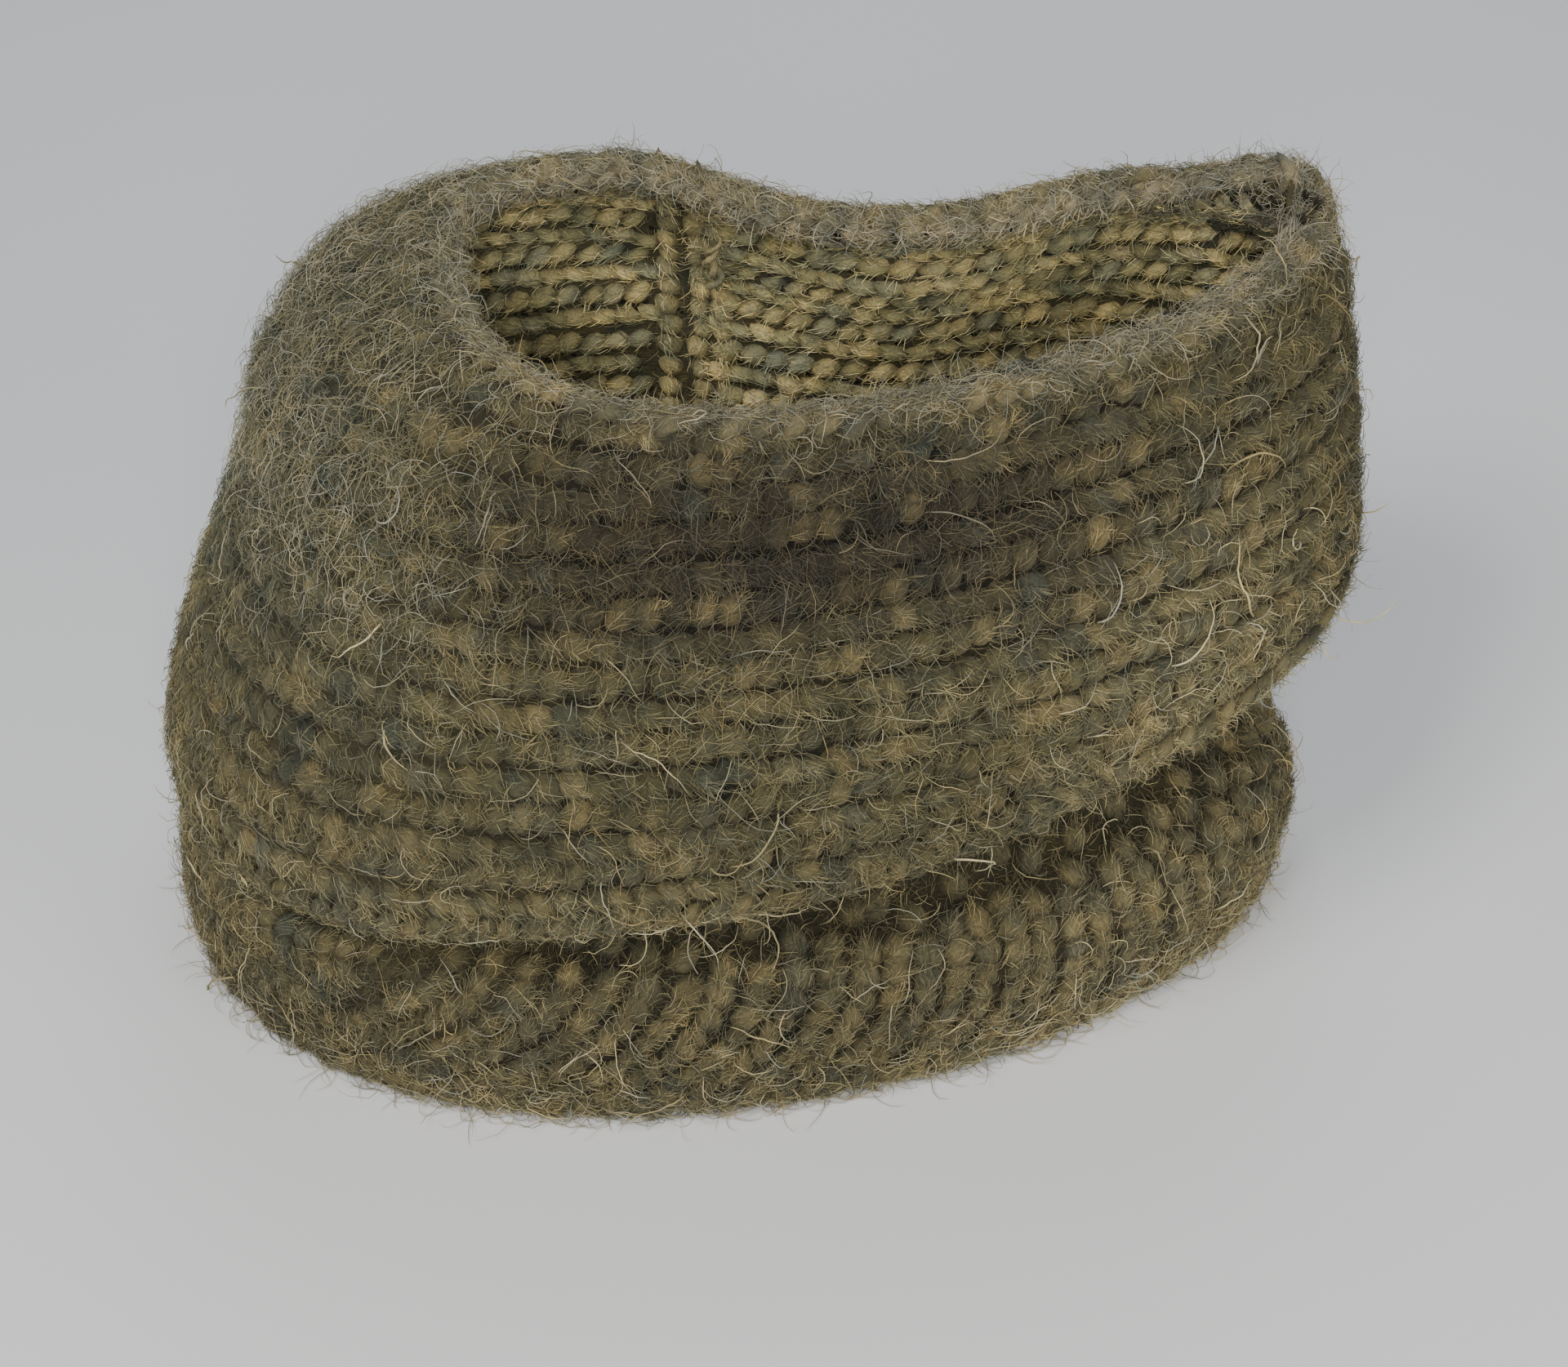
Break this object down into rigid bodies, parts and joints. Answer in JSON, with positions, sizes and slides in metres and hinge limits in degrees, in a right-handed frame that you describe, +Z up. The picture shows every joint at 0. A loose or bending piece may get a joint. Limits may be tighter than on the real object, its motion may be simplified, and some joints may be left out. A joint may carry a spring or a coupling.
{
  "type": "neck warmer",
  "caption": "Slouched tube of thick, hairy wool knitting that stands with its mouth up, its upper part folded over a wider lower collar.",
  "frame": {"origin": "on the surface it stands on, under the middle of the whole object's box", "axes": "+Z up through the mouth, +X to the right along the tube's longest side, -Y towards the front, where the fold is deepest"},
  "size_m": [0.222, 0.1432, 0.1295],
  "materials": {
    "wool_tube": "heathered olive-brown wool, matt and hairy",
    "wool_collar": "heathered golden-olive wool, matt and hairy",
    "wool_rim": "pale felted wool",
    "wool_seam": "wool yarn, matt"
  },
  "bodies": {
    "collar": {"cast_on_edge": "wool_collar", "collar_ridge_1": "wool_collar", "collar_ridge_2": "wool_collar", "collar_ridge_3": "wool_collar", "collar_ridge_4": "wool_collar", "seam_yarn_collar": "wool_seam", "yarn_tail_bottom": "wool_seam"},
    "upper_tube": {"fold_lip": "wool_tube", "tube_ridge_1": "wool_tube", "tube_ridge_2": "wool_tube", "tube_ridge_3": "wool_tube", "tube_ridge_4": "wool_tube", "tube_ridge_5": "wool_tube", "tube_ridge_6": "wool_tube", "tube_ridge_7": "wool_tube", "tube_ridge_8": "wool_tube", "bound_edge": "wool_rim", "seam_yarn_tube": "wool_seam", "yarn_tail_top": "wool_seam"}
  },
  "joints": [
    {"name": "fold_open", "type": "hinge", "parent": "collar", "child": "upper_tube", "pos_m": [-0.109, 0, 0.0276], "axis": [0, -1, 0], "range_deg": [0, 8]}
  ]
}
